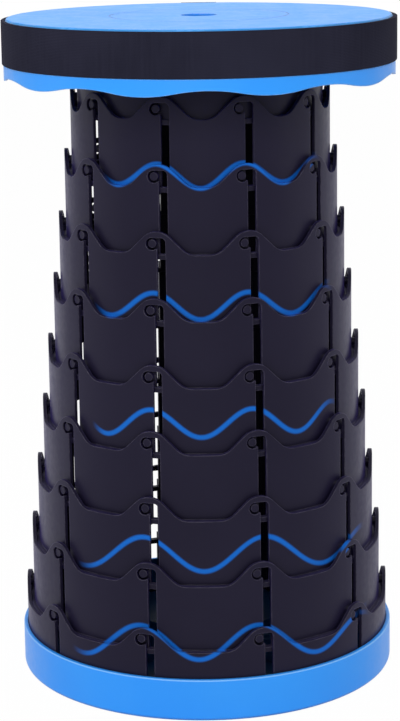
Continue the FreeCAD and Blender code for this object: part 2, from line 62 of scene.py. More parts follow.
NOISE_BAND: Pair = (0.3, 0.7)
NARROW_NOISE_BAND: Pair = (0.35, 0.65)
SHUT_IN_BAND: Pair = (0.25, 0.85)
EDGE_BAND: Pair = (0.75, 0.985)
HOLLOW_SAMPLES = 6
EDGE_SAMPLES = 4

# Sockets that share a name with others on their node, and so are reached by number.
MIX_BASE, MIX_OTHER, MIX_RESULT = 6, 7, 2
RANDOM_LOW, RANDOM_HIGH, RANDOM_RESULT = 2, 3, 1


class Stored(Enum):
    """Measures that are stored on the strap's mesh for its weave."""

    ALONG = "along"
    ACROSS = "across"
    WOVEN = "woven"


class Side(Enum):
    """The strap's two ends, by the side on which they lie as the stool is seen from the front."""

    LEFT = 1
    RIGHT = -1


class Graph:
    """A small writer for one node tree."""

    def __init__(self, tree: bpy.types.NodeTree) -> None:
        """Start a writer for a tree, and empty the tree."""
        self.tree = tree
        self.tree.nodes.clear()

    def add(self, kind: str, **settings: object) -> bpy.types.Node:
        """Add a node.

        Args:
            kind: the node's type name.
            settings: properties of the node, such as its operation.

        Returns:
            The new node.
        """
        node = self.tree.nodes.new(kind)
        for name, value in settings.items():
            setattr(node, name, value)
        return node

    def link(self, source: Socket, target: Socket) -> None:
        """Join an output to an input."""
        self.tree.links.new(source, target)

    def feed(self, socket: Socket, value: object) -> None:
        """Link a socket to another, or set its own value.

        Args:
            socket: the input to fill.
            value: an output socket, a number or a tuple.
        """
        if isinstance(value, bpy.types.NodeSocket):
            self.link(value, socket)
        elif isinstance(value, tuple) and len(value) == 3 and socket.type == "RGBA":
            socket.default_value = (*value, 1.0)
        else:
            socket.default_value = value

    def math(self, operation: str, *values: Source, clamp: bool = False) -> Socket:
        """Add a Math node and return its result.

        Args:
            operation: the name of the operation.
            values: its operands.
            clamp: whether the result is held between 0 and 1.

        Returns:
            The result socket.
        """
        node = self.add("ShaderNodeMath", operation=operation, use_clamp=clamp)
        for socket, value in zip(node.inputs, values):
            self.feed(socket, value)
        return node.outputs[0]

    def remap(
        self, value: Source, low: float, high: float, to_low: float, to_high: float
    ) -> Socket:
        """Map a value smoothly from one range to another.

        Args:
            value: the value to map.
            low: start of its range.
            high: end of its range.
            to_low: result at the start.
            to_high: result at the end.

        Returns:
            The result socket.
        """
        node = self.add("ShaderNodeMapRange", interpolation_type="SMOOTHSTEP")
        names = ("Value", "From Min", "From Max", "To Min", "To Max")
        for name, amount in zip(names, (value, low, high, to_low, to_high)):
            self.feed(node.inputs[name], amount)
        return node.outputs["Result"]

    def vary(
        self, noise: Socket, to_low: float, to_high: float, band: Pair = NOISE_BAND
    ) -> Socket:
        """Spread the used band of a noise's range between two amounts."""
        return self.remap(noise, *band, to_low, to_high)

    def mix(self, share: Source, base: object, other: object) -> Socket:
        """Mix two colours.

        Args:
            share: how much of the other colour shows.
            base: the colour underneath.
            other: the colour laid over it.

        Returns:
            The mixed colour.
        """
        node = self.add("ShaderNodeMix", data_type="RGBA")
        self.feed(node.inputs["Factor"], share)
        self.feed(node.inputs[MIX_BASE], base)
        self.feed(node.inputs[MIX_OTHER], other)
        return node.outputs[MIX_RESULT]

    def noise(
        self, place: Socket, scale: float, detail: float = 3.0, rough: float = 0.5
    ) -> Socket:
        """Add a noise texture and return its value.

        Args:
            place: the coordinates.
            scale: features per metre.
            detail: number of finer layers.
            rough: strength of the finer layers.

        Returns:
            The noise value, about 0.5 on average.
        """
        node = self.add("ShaderNodeTexNoise")
        self.feed(node.inputs["Vector"], place)
        for name, amount in (("Scale", scale), ("Detail", detail), ("Roughness", rough)):
            node.inputs[name].default_value = amount
        return node.outputs[0]

    def stretch(self, place: Socket, scale: Triple) -> Socket:
        """Scale coordinates along each axis.

        Args:
            place: the coordinates.
            scale: factor along x, y and z.

        Returns:
            The scaled coordinates.
        """
        node = self.add("ShaderNodeMapping")
        self.feed(node.inputs["Vector"], place)
        node.inputs["Scale"].default_value = scale
        return node.outputs[0]

    def object_place(self) -> Socket:
        """Return the Object coordinates."""
        return self.add("ShaderNodeTexCoord").outputs["Object"]

    def split(self, place: Socket) -> tuple[Socket, Socket, Socket]:
        """Split coordinates.

        Args:
            place: the coordinates.

        Returns:
            Their x, y and z.
        """
        node = self.add("ShaderNodeSeparateXYZ")
        self.link(place, node.inputs[0])
        return tuple(node.outputs)

    def girth(self, across: Socket, depth: Socket) -> Socket:
        """Find the distance of a place from the stool's upright axis."""
        square = self.math("MULTIPLY", across, across)
        return self.math("SQRT", self.math("ADD", square, self.math("MULTIPLY", depth, depth)))

    def hollow(self, reach: float) -> Socket:
        """Find how far a place is shut in by the faces around it.

        Args:
            reach: distance in metres within which faces count.

        Returns:
            A mask that is 1 deep in a pocket or slot and 0 in the open.
        """
        node = self.add("ShaderNodeAmbientOcclusion", samples=HOLLOW_SAMPLES, only_local=False)
        node.inputs["Distance"].default_value = reach
        return self.remap(node.outputs["AO"], *SHUT_IN_BAND, 1.0, 0.0)

    def softened_edge(self, radius: float) -> tuple[Socket, Socket]:
        """Find the softened normal near an edge, and how close the edge is.

        Args:
            radius: radius of the softened edge in metres.

        Returns:
            The softened normal, and a mask that is 1 on an edge.
        """
        bevel = self.add("ShaderNodeBevel", samples=EDGE_SAMPLES)
        bevel.inputs["Radius"].default_value = radius
        plain = self.add("ShaderNodeNewGeometry")
        dot = self.add("ShaderNodeVectorMath", operation="DOT_PRODUCT")
        self.link(bevel.outputs[0], dot.inputs[0])
        self.link(plain.outputs["Normal"], dot.inputs[1])
        return bevel.outputs[0], self.remap(dot.outputs["Value"], *EDGE_BAND, 1.0, 0.0)

    def bump(
        self, height: Socket, depth: float, strength: float, normal: Socket | None = None
    ) -> Socket:
        """Turn a height into a normal.

        Args:
            height: the height, 0 to 1.
            depth: depth of the relief in metres.
            strength: share of the relief that shows.
            normal: the normal that the relief lies on.

        Returns:
            The new normal.
        """
        node = self.add("ShaderNodeBump")
        node.inputs["Strength"].default_value = strength
        node.inputs["Distance"].default_value = depth
        self.link(height, node.inputs["Height"])
        if normal is not None:
            self.link(normal, node.inputs["Normal"])
        return node.outputs[0]

    def surface(self, colour: Socket, rough: Socket, normal: Socket, **constants: object) -> None:
        """End the material in a principled shader.

        Args:
            colour: the base colour.
            rough: the roughness.
            normal: the shading normal.
            constants: other sockets by name, with underscores for spaces.
        """
        shader = self.add("ShaderNodeBsdfPrincipled")
        self.link(colour, shader.inputs["Base Color"])
        self.link(rough, shader.inputs["Roughness"])
        self.link(normal, shader.inputs["Normal"])
        for name, value in constants.items():
            self.feed(shader.inputs[name.replace("_", " ")], value)
        out = self.add("ShaderNodeOutputMaterial")
        self.link(shader.outputs[0], out.inputs["Surface"])


def new_material(name: str) -> tuple[bpy.types.Material, Graph]:
    """Make an empty node material.

    Args:
        name: the material's name.

    Returns:
        The material and the writer for its tree.
    """
    material = bpy.data.materials.new(name)
    material.use_nodes = True
    return material, Graph(material.node_tree)


@dataclass(frozen=True)
class WavyStripe:
    """A painted accent line that waves round the front of the rings and fades at its ends.

    At an angle t from the front, in radians, the line's height above the floor is
    middle + swing * (1 - decay * t^2) * cos(crests * (t - shift) - widening * t^3) + bow * t^2.
    middle, swing and bow give it in millimetres. shift is written in degrees, and so are the
    ends and the fades. Angles are positive towards the right.
    """

    middle: float
    swing: float
    shift: float
    widening: float
    decay: float
    bow: float
    left_end: float = -48.0
    right_end: float = 62.0
    left_fade: float = 10.0
    right_fade: float = 16.0
    half_width: float = 1.5 * MM
    softness: float = 0.85 * MM
    wall: float = 2.15 * MM

    def paint(self, graph: Graph, radius: float) -> Socket:
        """Find where the line lies on a ring.

        Args:
            graph: the material's writer.
            radius: outer radius of the ring in metres.

        Returns:
            A mask that is 1 on the line.
        """
        across, depth, height = graph.split(graph.object_place())
        turn = graph.math("ARCTAN2", across, graph.math("MULTIPLY", depth, -1.0))
        square = graph.math("MULTIPLY", turn, turn)
        cube = graph.math("MULTIPLY", square, turn)
        start = -math.radians(self.shift) * CREST_COUNT
        even = graph.math("MULTIPLY_ADD", turn, float(CREST_COUNT), start)
        phase = graph.math("MULTIPLY_ADD", cube, -self.widening, even)
        full = self.swing * MM
        swing = graph.math("MULTIPLY_ADD", square, -self.decay * self.swing * MM, full)
        base = graph.math("MULTIPLY_ADD", square, self.bow * MM, self.middle * MM)
        line = graph.math("MULTIPLY_ADD", graph.math("COSINE", phase), swing, base)
        slope = graph.math("MULTIPLY", graph.math("SINE", phase), full * CREST_COUNT / radius)
        lean = graph.math("SQRT", graph.math("MULTIPLY_ADD", slope, slope, 1.0))
        rise = graph.math("ABSOLUTE", graph.math("SUBTRACT", height, line))
        gap = graph.math("DIVIDE", rise, lean)
        inner, outer = self.half_width - self.softness, self.half_width + self.softness
        stroke = graph.remap(gap, inner, outer, 1.0, 0.0)
        left, right = math.radians(self.left_end), math.radians(self.right_end)
        begin = graph.remap(turn, left, left + math.radians(self.left_fade), 0.0, 1.0)
        end = graph.remap(turn, right - math.radians(self.right_fade), right, 1.0, 0.0)
        outside = graph.math("GREATER_THAN", graph.girth(across, depth), radius - self.wall)
        mark = graph.math("MULTIPLY", stroke, outside)
        return graph.math("MULTIPLY", mark, graph.math("MULTIPLY", begin, end))


@dataclass(frozen=True)
class Shade:
    """A colour laid on part of a piece, told apart by distance from the axis and by height; it
    paints shade on some pieces and a highlight on others.
    """

    colour: Colour
    share: float
    low_radius: float = 0.0
    high_radius: float = 1.0
    low: float = 0.0
    blur: float = 0.2 * MM

    def lay(self, graph: Graph, base: Socket) -> Socket:
        """Lay the shade over a colour.

        Args:
            graph: the material's writer.
            base: the colour underneath.

        Returns:
            The shaded colour.
        """
        across, depth, height = graph.split(graph.object_place())
        girth = graph.girth(across, depth)
        limits = (
            (girth, self.low_radius, 0.0, 1.0),
            (girth, self.high_radius, 1.0, 0.0),
            (height, self.low, 0.0, 1.0),
        )
        inner, outer, above = (
            graph.remap(value, limit - self.blur, limit + self.blur, before, after)
            for value, limit, before, after in limits
        )
        mask = graph.math("MULTIPLY", graph.math("MULTIPLY", inner, outer), above)
        return graph.mix(graph.math("MULTIPLY", mask, self.share), base, self.colour)


@dataclass(frozen=True)
class MouldedPlastic:
    """Moulded plastic with a satin grain, edges painted lighter as wear and highlight, and painted
    shade in recesses.
    """

    name: str
    colour: Colour
    shade: Colour
    # The edge colour below paints edges lighter, partly as wear and partly as a painted highlight.
    worn: Colour
    # deep is the colour of painted shade in pockets, slots and crevices.
    deep: Colour
    roughness: float
    specular: float
    edge_radius: float = 0.5 * MM
    edge_share: float = 0.5
    hollow_reach: float = 5.0 * MM
    hollow_shade: float = 0.55
    cloud_scale: float = 9.0
    flow_scale: float = 55.0
    flow_stretch: Triple = (1.0, 1.0, 0.12)
    flow_gloss: float = 0.035
    speck_scale: float = 260.0
    speck_gloss: float = 0.03
    least_edge_lightening: float = 0.35
    grain_scale: float = 900.0
    grain_depth: float = 0.012 * MM
    grain_share: float = 0.7
    sheen: float = 0.0
    sheen_roughness: float = 0.45
    sheen_tint: Colour = (0.22, 0.14, 1.0)
    stripe_colour: Colour = (0.0065, 0.130, 0.545)
    stripe_roughness: float = 0.06

    def make(
        self,
        suffix: str = "",
        stripes: tuple[WavyStripe, ...] = (),
        radius: float = 0.0,
        shades: tuple[Shade, ...] = (),
    ) -> bpy.types.Material:
        """Build the material.

        Args:
            suffix: ending of the material's name.
            stripes: accent lines that are painted on it.
            radius: outer radius of the piece, for the lines.
            shades: colour changes on parts of the piece.

        Returns:
            The material.
        """
        material, graph = new_material(self.name + suffix)
        place = graph.object_place()
        cloud = graph.noise(place, self.cloud_scale, detail=4.0)
        flow = graph.noise(graph.stretch(place, self.flow_stretch), self.flow_scale)
        speck = graph.noise(place, self.speck_scale, detail=2.0)
        grain = graph.noise(place, self.grain_scale, detail=2.0, rough=0.6)
        softened, edge = graph.softened_edge(self.edge_radius)
        colour = graph.mix(graph.vary(cloud, 0.0, 1.0), self.colour, self.shade)
        # Edges are painted lighter in patches, partly as wear and partly as a painted highlight
        # where they catch light.
        patches = graph.vary(speck, self.least_edge_lightening, 1.0, NARROW_NOISE_BAND)
        edge_wear_and_highlight = graph.math("MULTIPLY", edge, patches)
        colour = graph.mix(graph.math("MULTIPLY", edge_wear_and_highlight, self.edge_share), colour, self.worn)
        uneven = graph.vary(flow, -self.flow_gloss, self.flow_gloss)
        rough = graph.math("ADD", uneven, self.roughness)
        specks = graph.vary(speck, -self.speck_gloss, self.speck_gloss)
        rough = graph.math("ADD", rough, specks, clamp=True)
        # Painted shade: the colour darkens towards deep where the faces around a place shut it in.
        painted_recess_shade = graph.math("MULTIPLY", graph.hollow(self.hollow_reach), self.hollow_shade)
        colour = graph.mix(painted_recess_shade, colour, self.deep)
        for shade in shades:
            colour = shade.lay(graph, colour)
        for stripe in stripes:
            mask = stripe.paint(graph, radius)
            colour = graph.mix(mask, colour, self.stripe_colour)
            rough = graph.math("ADD", rough, graph.math("MULTIPLY", mask, self.stripe_roughness))
        graph.surface(
            colour,
            rough,
            graph.bump(grain, self.grain_depth, self.grain_share, softened),
            Specular_IOR_Level=self.specular,
            Sheen_Weight=self.sheen,
            Sheen_Roughness=self.sheen_roughness,
            Sheen_Tint=self.sheen_tint,
        )
        return material


@dataclass(frozen=True)
class WovenWebbing:
    """Black webbing: ribs along its length, crossed by slanting picks, with faint streaks."""

    name: str = "woven_webbing"
    colour: Colour = (0.0145, 0.0145, 0.0265)
    light: Colour = (0.0310, 0.0310, 0.0540)
    rib_pitch: float = 0.95 * MM
    rib_roundness: float = 0.6
    pick_pitch: float = 1.43 * MM
    pick_slant: float = 0.5
    pick_depth: float = 0.55
    fuzz_scale: float = 2600.0
    fuzz_depth: float = 0.25
    fuzz_gloss: float = 0.06
    wear_scale: float = 16.0
    wear_range: Pair = (0.1, 0.95)
    streak_scale: Triple = (420.0, 14.0, 1.0)
    streak_band: Pair = (0.35, 0.7)
    streak_share: float = 0.22
    thread_top: Pair = (0.35, 1.0)
    relief: float = 0.10 * MM
    relief_share: float = 0.8
    roughness: float = 0.82
    specular: float = 0.03

    def make(self) -> bpy.types.Material:
        """Build the material, which reads the length and height stored on the strap.

        Returns:
            The material.
        """
        material, graph = new_material(self.name)
        woven = graph.add("ShaderNodeAttribute", attribute_name=Stored.WOVEN.value)
        flat = woven.outputs["Vector"]
        along, up, _ = graph.split(flat)
        ribs = graph.math("MULTIPLY", up, math.pi / self.rib_pitch)
        picks = graph.math("MULTIPLY", along, math.pi / self.pick_pitch)
        warp = graph.math("ABSOLUTE", graph.math("SINE", ribs))
        slanted = graph.math("ADD", picks, graph.math("MULTIPLY", ribs, self.pick_slant))
        weft = graph.math("ABSOLUTE", graph.math("SINE", slanted))
        rounded = graph.math("POWER", warp, self.rib_roundness)
        crossed = graph.math("MULTIPLY_ADD", weft, self.pick_depth, 1.0 - self.pick_depth)
        thread = graph.math("MULTIPLY", rounded, crossed)
        place = graph.object_place()
        fuzz = graph.noise(place, self.fuzz_scale, detail=2.0, rough=0.7)
        wear = graph.noise(place, self.wear_scale, detail=4.0)
        streak = graph.noise(graph.stretch(flat, self.streak_scale), 1.0)
        # Thread tops are painted lighter in patches, partly as worn fibre and partly as a painted
        # highlight on the raised threads.
        worn = graph.vary(wear, *self.wear_range)
        tops = graph.math("MULTIPLY", graph.remap(thread, *self.thread_top, 0.0, 1.0), worn)
        colour = graph.mix(tops, self.colour, self.light)
        faint = graph.vary(streak, 0.0, self.streak_share, self.streak_band)
        colour = graph.mix(faint, colour, self.light)
        height = graph.math("MULTIPLY_ADD", fuzz, self.fuzz_depth, thread)
        uneven = graph.vary(fuzz, -self.fuzz_gloss, self.fuzz_gloss)
        rough = graph.math("ADD", uneven, self.roughness, clamp=True)
        normal = graph.bump(height, self.relief, self.relief_share)
        graph.surface(colour, rough, normal, Specular_IOR_Level=self.specular)
        return material


@dataclass(frozen=True)
class Thread:
    """Polyester sewing thread."""

    name: str = "sewing_thread"
    colour: Colour = (0.016, 0.015, 0.021)
    light: Colour = (0.06, 0.055, 0.075)
    twist_scale: float = 1800.0
    twist_stretch: Triple = (1.0, 1.0, 3.0)
    twist_depth: float = 0.05 * MM
    fibre_scale: float = 5200.0
    roughness: Pair = (0.5, 0.68)

    def make(self) -> bpy.types.Material:
        """Build the material.

        Returns:
            The material.
        """
        material, graph = new_material(self.name)
        place = graph.object_place()
        twisted = graph.stretch(place, self.twist_stretch)
        twist = graph.noise(twisted, self.twist_scale, detail=2.0)
        fibre = graph.noise(place, self.fibre_scale, detail=2.0)
        # The raised twist is painted lighter, a painted highlight.
        lit = graph.vary(twist, 0.0, 1.0, NARROW_NOISE_BAND)
        colour = graph.mix(lit, self.colour, self.light)
        rough = graph.vary(fibre, *self.roughness)
        normal = graph.bump(twist, self.twist_depth, strength=0.8)
        graph.surface(colour, rough, normal, Specular_IOR_Level=0.4)
        return material


@dataclass(frozen=True)
class Rubber:
    """Matte rubber of the feet, dusty on its wearing face."""

    name: str = "foot_rubber"
    colour: Colour = (0.018, 0.018, 0.019)
    dust: Colour = (0.09, 0.088, 0.082)
    dust_scale: float = 70.0
    dust_band: Pair = (0.5, 0.8)
    dust_share: float = 0.5
    grain_scale: float = 1500.0
    grain_depth: float = 0.05 * MM
    edge_radius: float = 0.4 * MM
    edge_share: float = 0.4
    roughness: Pair = (0.72, 0.9)

    def make(self) -> bpy.types.Material:
        """Build the material.

        Returns:
            The material.
        """
        material, graph = new_material(self.name)
        place = graph.object_place()
        dust = graph.noise(place, self.dust_scale, detail=5.0, rough=0.65)
        grain = graph.noise(place, self.grain_scale, rough=0.7)
        softened, edge = graph.softened_edge(self.edge_radius)
        dusty = graph.vary(dust, 0.0, self.dust_share, self.dust_band)
        colour = graph.mix(dusty, self.colour, self.dust)
        colour = graph.mix(graph.math("MULTIPLY", edge, self.edge_share), colour, self.dust)
        rough = graph.vary(grain, *self.roughness)
        normal = graph.bump(grain, self.grain_depth, strength=0.7, normal=softened)
        graph.surface(colour, rough, normal, Specular_IOR_Level=0.3)
        return material


@dataclass(frozen=True)
class PlatedSteel:
    """Zinc-plated steel with turning marks."""

    name: str = "plated_steel"
    colour: Colour = (0.55, 0.55, 0.57)
    shade: Colour = (0.36, 0.36, 0.39)
    worn: Colour = (0.7, 0.69, 0.66)
    cloud_scale: float = 120.0
    brush_scale: float = 500.0
    brush_stretch: Triple = (1.0, 1.0, 14.0)
    brush_depth: float = 0.01 * MM
    edge_radius: float = 0.25 * MM
    edge_share: float = 0.6
    roughness: Pair = (0.24, 0.42)

    def make(self) -> bpy.types.Material:
        """Build the material.

        Returns:
            The material.
        """
        material, graph = new_material(self.name)
        place = graph.object_place()
        cloud = graph.noise(place, self.cloud_scale, detail=4.0)
        brushed = graph.stretch(place, self.brush_stretch)
        brush = graph.noise(brushed, self.brush_scale, detail=2.0)
        softened, edge = graph.softened_edge(self.edge_radius)
        colour = graph.mix(graph.vary(cloud, 0.0, 1.0), self.colour, self.shade)
        # Edges are painted lighter, partly as rubbed plating and partly as a painted highlight.
        colour = graph.mix(graph.math("MULTIPLY", edge, self.edge_share), colour, self.worn)
        rough = graph.vary(brush, *self.roughness)
        normal = graph.bump(brush, self.brush_depth, strength=0.6, normal=softened)
        graph.surface(colour, rough, normal, Metallic=1.0)
        return material


# Each plastic's light edge colour is partly a painted highlight, and its deep colour is painted
# shade.
BLUE_PLASTIC = MouldedPlastic(
    name="blue_moulded_plastic",
    colour=(0.022, 0.305, 0.960),
    shade=(0.030, 0.335, 0.985),
    worn=(0.42, 0.68, 1.0),
    deep=(0.004, 0.05, 0.30),
    roughness=0.38,
    specular=0.30,
    edge_radius=1.5 * MM,
    edge_share=0.9,
)
# The centre cap is the seat's blue painted darker, as painted shade in its dimple.
RECESS_SHADED_BLUE_PLASTIC = MouldedPlastic(
    name="recess_shaded_blue_plastic",
    colour=(0.030, 0.220, 0.600),
    shade=(0.036, 0.240, 0.640),
    worn=(0.08, 0.26, 0.68),
    deep=(0.004, 0.03, 0.16),
    roughness=0.32,
    specular=0.35,
)
BLACK_PLASTIC = MouldedPlastic(
    name="black_moulded_plastic",
    colour=(0.0112, 0.0095, 0.0225),
    shade=(0.0135, 0.0115, 0.0265),
    worn=(0.150, 0.138, 0.190),
    deep=(0.0030, 0.0025, 0.0055),
    roughness=0.38,
    specular=0.09,
    edge_radius=1.1 * MM,
    edge_share=0.75,
    hollow_shade=0.7,
    sheen=0.09,
)
# Rings in the seat's shade: their edges get less painted highlight.
SEAT_SHADED_PLASTIC = replace(BLACK_PLASTIC, name="seat_shaded_black_plastic", edge_share=0.3)
SLIDER_PLASTIC = MouldedPlastic(
    name="black_slider_plastic",
    colour=(0.0120, 0.0116, 0.0150),
    shade=(0.0150, 0.0145, 0.0190),
    worn=(0.055, 0.052, 0.065),
    deep=(0.002, 0.002, 0.003),
    roughness=0.30,
    specular=0.45,
)

# The accent lines of each ring. The six numbers are middle, swing, shift, widening, decay, bow.
ACCENT_LINES = {
    2: (WavyStripe(353.3, 7.8, -18.2, 1.31, 0.12, 1.4),),
    3: (WavyStripe(354.2, 7.7, -18.2, -0.20, 0.13, 0.3, left_end=-45.0, right_end=58.0),),
    4: (WavyStripe(270.4, 8.5, -18.7, 1.06, 0.06, -1.5),),
    5: (WavyStripe(271.6, 8.5, -18.7, -0.45, 0.12, -3.1, left_end=-45.0, right_end=58.0),),
    6: (
        WavyStripe(
            195.3, 9.1, -19.0, -0.27, 0.10, -5.8, left_end=-44.0, right_end=58.0, left_fade=7.0
        ),
    ),
    8: (WavyStripe(108.4, 9.5, -18.6, 2.68, -1.64, 6.3, right_end=68.0),),
    9: (
        WavyStripe(111.1, 10.8, -18.7, 1.99, -0.38, -4.1, left_end=-45.0, right_end=66.0),
        WavyStripe(51.3, 11.1, -20.4, 2.01, -0.23, -8.0, right_end=66.0),
    ),
    10: (WavyStripe(53.6, 11.4, -20.4, 0.87, 0.06, -11.9, left_end=-46.0),),
}


def dress(node: str, material: bpy.types.Material) -> None:
    """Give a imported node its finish.

    Args:
        node: the node's name.
        material: the finish.
    """
    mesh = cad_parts[node].data
    mesh.materials.clear()
    mesh.materials.append(material)
    LOG.info("%s: %s", node, material.name)


@dataclass
class RingStack:
    """The ten black rings, with the painted accent lines on some of them.

    The two innermost rings lie in the seat's shade, so their edges are painted less light.
    """

    outer_radius: float = 126.0 * MM
    step: float = 4.8 * MM
    seat_shaded: int = 2
    accents: dict[int, tuple[WavyStripe, ...]] = field(default_factory=dict)

    def build(self) -> None:
        """Dress each ring, with its own copy of the finish for its radius and lines."""
        for place in range(1, RING_COUNT + 1):
            plastic = SEAT_SHADED_PLASTIC if place <= self.seat_shaded else BLACK_PLASTIC
            radius = self.outer_radius - (RING_COUNT - place) * self.step
            finish = plastic.make(f"_ring_{place}", self.accents.get(place, ()), radius)
            dress(f"ring_{place}", finish)


@dataclass
class Base:
    """Blue base tray on its rubber feet, with painted shade inside and a painted highlight along
    its rim.
    """

    ring_socket: float = 126.4 * MM
    # The inside colour is painted shade, and the rim colour is a painted highlight on the rim's
    # top.
    inside_shade_colour: Colour = (0.003, 0.018, 0.075)
    inside_shade_share: float = 0.85
    rim_radius: float = 128.6 * MM
    rim_height: float = 0.8 * MM
    rim_colour: Colour = (0.28, 0.58, 1.0)
    rim_share: float = 0.65

    def build(self) -> None:
        """Dress the tray and the feet."""
        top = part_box("base_tray")[1][2]
        # Painted shade inside the tray.
        inside = Shade(self.inside_shade_colour, self.inside_shade_share, high_radius=self.ring_socket)
        # Painted highlight along the top of the rim.
        rim = Shade(
            self.rim_colour,
            self.rim_share,
            low_radius=self.rim_radius,
            low=top - self.rim_height,
        )
        dress("base_tray", BLUE_PLASTIC.make("_base", shades=(inside, rim)))
        rubber = Rubber().make()
        for place in range(1, FOOT_COUNT + 1):
            dress(f"foot_pad_{place}", rubber)


@dataclass
class Seat:
    """Blue seat shell with painted shade along its rim, its centre cap painted darker as shade,
    and its screws.
    """

    rim_radius: float = 128.3 * MM
    rim_foot: float = 448.2 * MM
    rim_colour: Colour = (0.035, 0.270, 0.640)
    rim_share: float = 0.75

    def build(self) -> None:
        """Dress the shell, the cap and the screws."""
        # Painted shade darkens the seat's rounded rim above the strap.
        rim = Shade(
            self.rim_colour, self.rim_share, low_radius=self.rim_radius, low=self.rim_foot
        )
        dress("seat_shell", BLUE_PLASTIC.make("_seat", shades=(rim,)))
        dress("seat_centre_cap", RECESS_SHADED_BLUE_PLASTIC.make())
        dress("seat_screws", PlatedSteel().make())


class NodeSweep:
    """A Geometry Nodes tree on a short-lived host mesh, whose result is kept as plain mesh."""

    def __init__(self, name: str, inputs: dict[str, str]) -> None:
        """Start a tree with a geometry input and output, and its named inputs.

        Args:
            name: the tree's name.
            inputs: socket type of each named input.
        """
        self.tree = bpy.data.node_groups.new(name, "GeometryNodeTree")
        self.graph = Graph(self.tree)
        for way in ("INPUT", "OUTPUT"):
            self.tree.interface.new_socket(
                name="Geometry", in_out=way, socket_type="NodeSocketGeometry"
            )
        self.sockets = {
            label: self.tree.interface.new_socket(
                name=label, in_out="INPUT", socket_type=kind
            ).identifier
            for label, kind in inputs.items()
        }
        self.given = self.graph.add("NodeGroupInput").outputs

    def step(
        self, kind: str, inputs: dict[str | int, object], output: str | int = 0, **settings: object
    ) -> Socket:
        """Add a node, fill its inputs and return one of its outputs.

        Args:
            kind: the node's type name.
            inputs: a socket or value for each input, by name or number.
            output: name or number of the output.
            settings: properties of the node.

        Returns:
            The output socket.
        """
        node = self.graph.add(kind, **settings)
        for label, value in inputs.items():
            self.graph.feed(node.inputs[label], value)
        return node.outputs[output]

    def store(self, measure: Stored, kind: str, geometry: Socket, value: Socket) -> Socket:
        """Store a measure of the given kind on a geometry's points, and return the geometry."""
        return self.step(
            "GeometryNodeStoreNamedAttribute",
            {"Name": measure.value, "Geometry": geometry, "Value": value},
            data_type=kind,
            domain="POINT",
        )

    def read(self, measure: Stored) -> Socket:
        """Read a number that was stored on the points."""
        return self.step(
            "GeometryNodeInputNamedAttribute", {"Name": measure.value}, data_type="FLOAT"
        )

    def close(self, geometry: Socket) -> None:
        """Shade the geometry smooth and end in Realize Instances and Set Material.

        Args:
            geometry: the geometry made so far.
        """
        smooth = self.step("GeometryNodeSetShadeSmooth", {"Geometry": geometry})
        real = self.step("GeometryNodeRealizeInstances", {"Geometry": smooth})
        paint = self.step(
            "GeometryNodeSetMaterial", {"Geometry": real, "Material": self.given["Material"]}
        )
        out = self.graph.add("NodeGroupOutput")
        self.graph.link(paint, out.inputs[0])

    def run(
        self, name: str, lines: list[list[Vector]], values: dict[str, object]
    ) -> bpy.types.Object:
        """Run the tree on some lines of points and keep the result.

        Args:
            name: name of the new piece.
            lines: the lines, each a list of points.
            values: value of each named input.

        Returns:
            The piece.
        """
        points = [point for line in lines for point in line]
        edges: list[tuple[int, int]] = []
        start = 0
        for line in lines:
            edges += [(start + index, start + index + 1) for index in range(len(line) - 1)]
            start += len(line)
        mesh = bpy.data.meshes.new(f"{name}_path")
        mesh.from_pydata(points, edges, [])
        host = bpy.data.objects.new(f"{name}_host", mesh)
        bpy.context.scene.collection.objects.link(host)
        modifier = host.modifiers.new("nodes", "NODES")
        modifier.node_group = self.tree
        for label, value in values.items():
            modifier[self.sockets[label]] = value
        shaped = host.evaluated_get(bpy.context.evaluated_depsgraph_get())
        result = bpy.data.meshes.new_from_object(shaped)
        result.name = name
        bpy.data.objects.remove(host)
        bpy.data.meshes.remove(mesh)
        piece = bpy.data.objects.new(name, result)
        bpy.context.scene.collection.objects.link(piece)
        LOG.info("%s: %d faces", name, len(result.polygons))
        return piece


@dataclass(frozen=True)
class BandTree:
    """The tree that sweeps a flat band with rounded edges along level lines."""

    corner_share: float = 0.45
    corner_points: int = 4

    def write(self) -> NodeSweep:
        """Write the tree, which stores the length and height of the weave on the band.

        Returns:
            The tree, with inputs Width, Thickness and Material.
        """
        sweep = NodeSweep(
            "webbing_band",
            {
                "Width": "NodeSocketFloat",
                "Thickness": "NodeSocketFloat",
                "Material": "NodeSocketMaterial",
            },
        )
        graph, step, given = sweep.graph, sweep.step, sweep.given
        width, thickness = given["Width"], given["Thickness"]
        path = step("GeometryNodeMeshToCurve", {"Mesh": given["Geometry"]})
        upright = step("GeometryNodeSetCurveNormal", {"Curve": path}, mode="Z_UP")
        run = step("GeometryNodeSplineParameter", {}, "Length")
        measured = sweep.store(Stored.ALONG, "FLOAT", upright, run)

        outline = step(
            "GeometryNodeCurvePrimitiveQuadrilateral", {"Width": thickness, "Height": width}
        )
        thinner = graph.math("MINIMUM", thickness, width)
        rounded = step(
            "GeometryNodeFilletCurve",
            {
                "Count": self.corner_points,
                "Curve": outline,
                "Radius": graph.math("MULTIPLY", thinner, self.corner_share),
            },
            mode="POLY",
        )
        up = graph.split(step("GeometryNodeInputPosition", {}))[1]
        profile = sweep.store(Stored.ACROSS, "FLOAT", rounded, up)

        band = step(
            "GeometryNodeCurveToMesh",
            {"Fill Caps": True, "Curve": measured, "Profile Curve": profile},
        )
        weave = step(
            "ShaderNodeCombineXYZ", {0: sweep.read(Stored.ALONG), 1: sweep.read(Stored.ACROSS)}
        )
        sweep.close(sweep.store(Stored.WOVEN, "FLOAT_VECTOR", band, weave))
        return sweep


